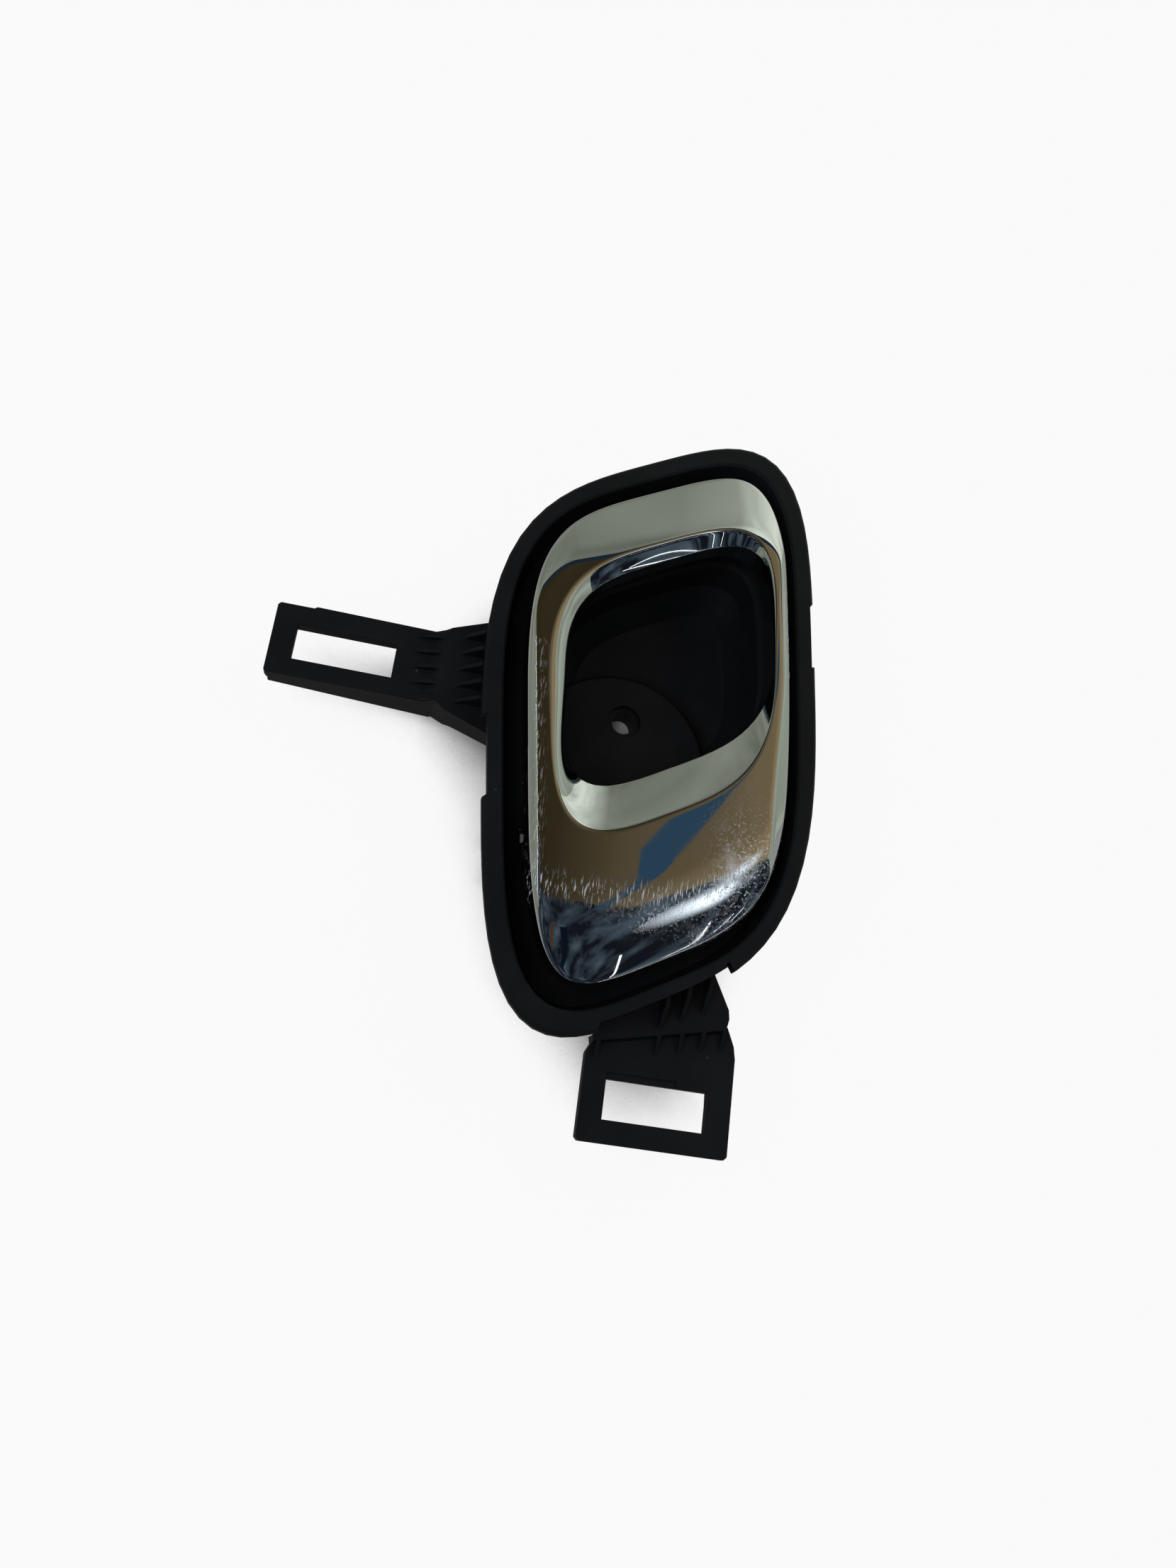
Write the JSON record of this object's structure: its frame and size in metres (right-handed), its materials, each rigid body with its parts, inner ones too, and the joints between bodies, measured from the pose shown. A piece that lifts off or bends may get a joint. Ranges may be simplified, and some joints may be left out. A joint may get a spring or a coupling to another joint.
{
  "type": "car interior door handle",
  "caption": "Interior door handle: black moulded bezel with finger cup and snap-in arms, and a chromed ring-shaped pull lever that turns on a pin behind its side bar.",
  "frame": {"origin": "middle of the fixing screw's seat, the floor of the head recess in the finger cup", "axes": "+Z along the fixing hole, out of the handle's face; +Y up along the handle's length; +X to the right, along the long edges of both clip windows"},
  "size_m": [0.1241, 0.1645, 0.0332],
  "materials": {
    "black_moulding": "matte",
    "chrome_plating": "polished chrome plating on plastic",
    "carrier_moulding": "matte",
    "pin_steel": "satin",
    "spring_steel": "satin",
    "stop_rubber": "matte"
  },
  "bodies": {
    "housing": {"housing": "black_moulding", "pivot_pin": "pin_steel", "pin_retainer": "pin_steel", "return_spring": "spring_steel", "upper_bump_stop": "stop_rubber", "lower_bump_stop": "stop_rubber"},
    "lever": {"lever_shell": "chrome_plating", "lever_carrier": "carrier_moulding"}
  },
  "joints": [
    {"name": "lever_pivot", "type": "hinge", "parent": "housing", "child": "lever", "pos_m": [-0.02239, 0, 0.0157], "axis": [0.1219, -0.9925, 0], "range_deg": [0, 30], "stiffness_Nm_per_rad": 0.15, "springref_deg": -20.05, "deforming": ["return_spring"]}
  ]
}
